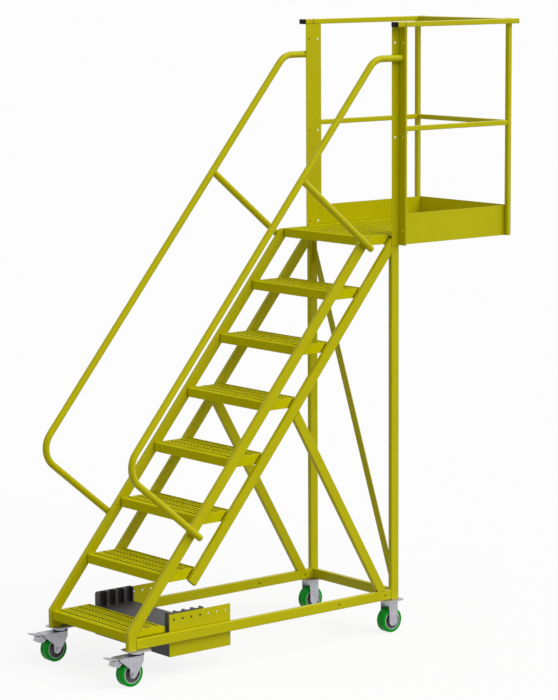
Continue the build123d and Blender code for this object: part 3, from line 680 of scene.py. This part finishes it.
def seam_lines(low, high):
    """The lines round a rectangle, short of its corners: low and high agree along the axis that it faces."""
    low, high = Vector(low), Vector(high)
    flat = min(range(3), key=lambda i: abs(high[i] - low[i]))
    first, second = [i for i in range(3) if i != flat]
    corners = []
    for at_first, at_second in ((low, low), (high, low), (high, high), (low, high)):
        corner = Vector(low)
        corner[first] = at_first[first]
        corner[second] = at_second[second]
        corners.append(corner)
    lines = []
    for start, end in zip(corners, corners[1:] + corners[:1]):
        inset = (end - start).normalized() * BEAD_RADIUS
        lines.append((start + inset, end - inset))
    return lines


def add_beads(verts, faces, lines):
    """A bead along each line, laid once where two seams share it."""
    laid = set()
    for start, end in lines:
        place = tuple(round(value, PLACE_DIGITS) for value in (start + end) / 2)
        if place not in laid:
            laid.add(place)
            add_bead(verts, faces, start, end)


leg_low, leg_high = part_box("front_legs")
post_low, post_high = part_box("rear_posts")
base_low, base_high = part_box("base_rails")
cross_low, cross_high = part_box("base_rear_rail")
corner_low, corner_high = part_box("corner_posts")
mid_low, mid_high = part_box("mid_rail_right")
top_low, top_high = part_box("top_rail_rear")
inner, outer = cross_high.x, leg_high.x
guard_inner, guard_outer = mid_low.x, corner_high.x
# Each seam on the right side: its group, lowest corner and highest corner
SEAMS = (
    ("base", (inner, leg_low.y, leg_low.z), (outer, leg_high.y, leg_low.z)),
    ("base", (inner, leg_high.y, base_low.z), (outer, leg_high.y, base_high.z)),
    ("base", (inner, post_low.y, base_low.z), (outer, post_low.y, base_high.z)),
    ("base", (inner, post_low.y, post_low.z), (outer, post_high.y, post_low.z)),
    ("base", (inner, cross_low.y, cross_low.z), (inner, cross_high.y, cross_high.z)),
    ("platform", (inner, post_low.y, post_high.z), (outer, post_high.y, post_high.z)),
    ("guard", (guard_inner, corner_low.y, corner_high.z), (guard_outer, corner_high.y, corner_high.z)),
    ("guard", (mid_low.x, mid_high.y, mid_low.z), (mid_high.x, mid_high.y, mid_high.z)),
    ("guard", (guard_inner, corner_low.y, mid_low.z), (guard_inner, corner_high.y, mid_high.z)),
    ("guard", (top_high.x, top_low.y, top_low.z), (top_high.x, top_high.y, top_high.z)),
)
for group in ("base", "stair", "platform", "guard"):
    lines = []
    for _, sign in SIDES:
        for seam_group, low, high in SEAMS:
            if seam_group == group:
                lines += seam_lines((sign * low[0], low[1], low[2]), (sign * high[0], high[1], high[2]))
        if group == "stair":
            for number in range(1, STEP_COUNT + 1):
                low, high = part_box(f"step_{number}")
                lines.append([Vector((sign * high.x, low.y + along, high.z)) for along in STEP_BEAD])
    verts, faces = [], []
    add_beads(verts, faces, lines)
    make_piece(f"welds_{group}", verts, faces, YELLOW, "frame")

# Dark pins that hold the fitted counterweights to their side plates

PIN_COUNT = 4
PIN_PITCH = 53.0 * MM
PIN_DROP = 28.0 * MM
PIN_SEGMENTS = 24
# Each row of a pin: its radius, and its place across the ladder
PIN_PROFILE = (
    (3.9 * MM, 291.4 * MM),
    (5.0 * MM, 292.2 * MM),
    (5.2 * MM, 293.0 * MM),
    (5.2 * MM, 304.0 * MM),
    (4.4 * MM, 304.8 * MM),
)
plate_low, plate_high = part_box("counterweight_plates")
for side, sign in SIDES:
    verts, faces = [], []
    for pin in range(PIN_COUNT):
        place = (0, plate_low.y + PIN_PITCH * (pin + 0.5), plate_high.z - PIN_DROP)
        lathe(verts, faces, place, (sign, 0, 0), PIN_PROFILE, PIN_SEGMENTS)
    make_piece(f"weight_pins_{side}", verts, faces, DARK_STEEL, "frame")

# Caster detail: a dark seal under each swivel race, a king pin nut, grip ribs on the pedals and rim rings

UP = (0, 0, 1)
SEAL_SEGMENTS, NUT_SIDES, RIM_SEGMENTS = 64, 6, 72
# Each row of a seal: its radius, and its height over the lower face of the race
SEAL_SECTION = (
    (33.0 * MM, 0.2 * MM),
    (37.2 * MM, 0.2 * MM),
    (37.8 * MM, 1.2 * MM),
    (37.8 * MM, 4.0 * MM),
    (37.0 * MM, 5.0 * MM),
    (33.0 * MM, 5.0 * MM),
)
CROWN_DROP = 6.3 * MM
# Each row of a nut: its radius, and its height over the lower face of the fork's crown
NUT_PROFILE = (
    (9.4 * MM, 0.0),
    (10.4 * MM, 0.0),
    (11.0 * MM, -0.9 * MM),
    (11.0 * MM, -7.0 * MM),
    (9.8 * MM, -8.0 * MM),
    (6.0 * MM, -8.0 * MM),
    (5.6 * MM, -10.0 * MM),
    (4.6 * MM, -10.8 * MM),
)
# Each row of a rim ring: its radius, and how far it stands out of the tyre's side
RIM_SECTION = (
    (43.0 * MM, -0.4 * MM),
    (47.3 * MM, -0.4 * MM),
    (47.3 * MM, 0.3 * MM),
    (46.7 * MM, 0.8 * MM),
    (43.6 * MM, 0.8 * MM),
    (43.0 * MM, 0.3 * MM),
)
PEDAL_RISE, PEDAL_REACH = 9.3 * MM, 53.0 * MM
PEDAL_SLOPE = Vector((0.0, PEDAL_REACH, -PEDAL_RISE)).normalized()
PEDAL_UPWARD = Vector((0.0, PEDAL_RISE, PEDAL_REACH)).normalized()
RIB_COUNT = 5
RIB_PITCH = 7.0 * MM
RIB_WIDE, RIB_HIGH = 2.6 * MM, 1.4 * MM
RIB_SIDE_GAP = 3.0 * MM
RIB_SINK = 0.4 * MM
RIB_FROM_TIP = 4.0 * MM
# A rib's height at its two ends, and where its flat top lies in its width
RIB_END = 0.5
RIB_TOP_NEAR, RIB_TOP_FAR = 0.25, 0.75


def add_rib(verts, faces, foot, x0, x1):
    """A grip rib across a pedal, lower at its two ends."""
    loops = []
    for x, draw in ((x0, RIB_END), (x0 + RIB_HIGH, 1.0), (x1 - RIB_HIGH, 1.0), (x1, RIB_END)):
        crest = PEDAL_UPWARD * RIB_HIGH * draw
        section = (
            foot - PEDAL_UPWARD * RIB_SINK,
            foot + PEDAL_SLOPE * RIB_WIDE - PEDAL_UPWARD * RIB_SINK,
            foot + PEDAL_SLOPE * RIB_WIDE * RIB_TOP_FAR + crest,
            foot + PEDAL_SLOPE * RIB_WIDE * RIB_TOP_NEAR + crest,
        )
        loops.append([point + Vector((x, 0.0, 0.0)) for point in section])
    add_loops(verts, faces, loops)


race_low, race_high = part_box("front_caster_plates")
swivel_y = (race_low.y + race_high.y) / 2
for side, sign in SIDES:
    caster = f"front_caster_{side}"
    fork_low, fork_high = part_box(f"front_fork_{side}")
    swivel_x = (fork_low.x + fork_high.x) / 2
    verts, faces = [], []
    lathe(verts, faces, (swivel_x, swivel_y, race_low.z), UP, SEAL_SECTION, SEAL_SEGMENTS, ends="joined")
    make_piece(f"swivel_seal_{side}", verts, faces, DARK_STEEL, "frame")
    verts, faces = [], []
    lathe(verts, faces, (swivel_x, swivel_y, race_low.z - CROWN_DROP), UP, NUT_PROFILE, NUT_SIDES)
    make_piece(f"king_pin_nut_{side}", verts, faces, ZINC, caster, smooth_angle=CRISP_ANGLE)

    pedal_low, pedal_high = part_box(f"brake_pedal_{side}")
    tip = Vector((0.0, pedal_low.y, pedal_high.z))
    verts, faces = [], []
    for rib in range(RIB_COUNT):
        foot = tip + PEDAL_SLOPE * (RIB_FROM_TIP + rib * RIB_PITCH)
        add_rib(verts, faces, foot, pedal_low.x + RIB_SIDE_GAP, pedal_high.x - RIB_SIDE_GAP)
    make_piece(f"pedal_ribs_{side}", verts, faces, ZINC, caster, smooth_angle=CRISP_ANGLE)

    for end in ("front", "rear"):
        tyre_low, tyre_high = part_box(f"{end}_tyre_{side}")
        middle = (tyre_low + tyre_high) / 2
        verts, faces = [], []
        for face_x, way in ((tyre_low.x, -1), (tyre_high.x, 1)):
            place = (face_x, middle.y, middle.z)
            lathe(verts, faces, place, (way, 0, 0), RIM_SECTION, RIM_SEGMENTS, ends="joined")
        make_piece(f"rim_{end}_{side}", verts, faces, RIM, f"{end}_wheel_{side}")


# Floor, light and camera

FLOOR_REACH = 400.0
FLOOR_TINTS = (0.96, 0.96, 0.96), (0.98, 0.98, 0.98)
FLOOR_TINT_SCALE = 0.4
FLOOR_ROUGHNESS = 0.9
FLOOR_BOUNCE = (0.4, 0.4, 0.4)
# How much of the seen floor is plain white; the rest takes the shadow
FLOOR_WHITE = 0.86
WORLD_LIGHT = 0.35
KEY_FROM = (0.57, 0.32, 0.757)
KEY_STRENGTH = 2.06
KEY_SPREAD = math.radians(64.0)
CAMERA_PLACE = (10.9308, -8.9467, 3.5211)
CAMERA_YAW = math.radians(50.6449)
CAMERA_PITCH = math.radians(-8.2928)
CAMERA_ROLL = math.radians(-0.2913)
CAMERA_FOCUS_PX, PICTURE_TALL_PX, SENSOR = 2851.68, 700.0, 36.0
CAMERA_SIGHT = 1000.0


def add_white_rays(tree):
    """One where a ray sees the background itself: straight, mirrored or through glass."""
    path = tree.nodes.new("ShaderNodeLightPath")
    seen = add_math(tree, "ADD", path.outputs["Is Camera Ray"], path.outputs["Is Glossy Ray"])
    return add_math(tree, "ADD", seen, path.outputs["Is Transmission Ray"])


def make_floor():
    """A wide floor: white to the eye with a weak shadow, and a softer bounce on the object."""
    mesh = bpy.data.meshes.new("floor")
    corners = [(x * FLOOR_REACH, y * FLOOR_REACH, 0) for x, y in ((-1, -1), (1, -1), (1, 1), (-1, 1))]
    mesh.from_pydata(corners, [], [(0, 1, 2, 3)])
    material, tree, shader, coords = start_material("floor", FLOOR_ROUGHNESS, gloss=0.0)
    tint = add_noise(tree, coords, FLOOR_TINT_SCALE, detail=2.0)
    tree.links.new(add_mix(tree, tint, *FLOOR_TINTS), shader.inputs["Base Color"])
    glow = tree.nodes.new("ShaderNodeEmission")
    glow.inputs["Color"].default_value = (*WHITE, 1.0)
    bounce = tree.nodes.new("ShaderNodeBsdfDiffuse")
    bounce.inputs["Color"].default_value = (*FLOOR_BOUNCE, 1.0)
    seen = tree.nodes.new("ShaderNodeMixShader")
    seen.inputs["Fac"].default_value = FLOOR_WHITE
    tree.links.new(shader.outputs["BSDF"], seen.inputs[1])
    tree.links.new(glow.outputs["Emission"], seen.inputs[2])
    choice = tree.nodes.new("ShaderNodeMixShader")
    tree.links.new(add_white_rays(tree), choice.inputs["Fac"])
    tree.links.new(bounce.outputs["BSDF"], choice.inputs[1])
    tree.links.new(seen.outputs["Shader"], choice.inputs[2])
    tree.links.new(choice.outputs["Shader"], tree.nodes["Material Output"].inputs["Surface"])
    mesh.materials.append(material)
    floor = bpy.data.objects.new("floor", mesh)
    bpy.context.scene.collection.objects.link(floor)


def make_world():
    """White to the eye, a softer even light on the object."""
    world = bpy.data.worlds.new("studio")
    world.use_nodes = True
    tree = world.node_tree
    back = tree.nodes["Background"]
    back.inputs["Color"].default_value = (*WHITE, 1.0)
    strength = add_range(tree, add_white_rays(tree), 0.0, 1.0, WORLD_LIGHT, 1.0)
    tree.links.new(strength, back.inputs["Strength"])
    bpy.context.scene.world = world


def make_key():
    """One large soft light."""
    lamp = bpy.data.lights.new("key", "SUN")
    lamp.energy = KEY_STRENGTH
    lamp.angle = KEY_SPREAD
    sun = bpy.data.objects.new("key", lamp)
    sun.rotation_euler = Vector(KEY_FROM).to_track_quat("Z", "Y").to_euler()
    bpy.context.scene.collection.objects.link(sun)


def make_camera():
    """The camera where the photograph was taken from."""
    forward = Vector((
        -math.sin(CAMERA_YAW) * math.cos(CAMERA_PITCH),
        math.cos(CAMERA_YAW) * math.cos(CAMERA_PITCH),
        math.sin(CAMERA_PITCH),
    ))
    right = Vector((math.cos(CAMERA_YAW), math.sin(CAMERA_YAW), 0.0))
    up = right.cross(forward)
    turn = Matrix((right, up, -forward)).transposed() @ Matrix.Rotation(CAMERA_ROLL, 3, "Z")
    data = bpy.data.cameras.new("camera")
    data.sensor_width = SENSOR
    data.lens = CAMERA_FOCUS_PX * SENSOR / PICTURE_TALL_PX
    data.clip_end = CAMERA_SIGHT
    camera = bpy.data.objects.new("camera", data)
    camera.matrix_world = Matrix.Translation(CAMERA_PLACE) @ turn.to_4x4()
    bpy.context.scene.collection.objects.link(camera)
    bpy.context.scene.camera = camera


make_floor()
make_world()
make_key()
make_camera()
bpy.context.scene.view_settings.view_transform = "Standard"
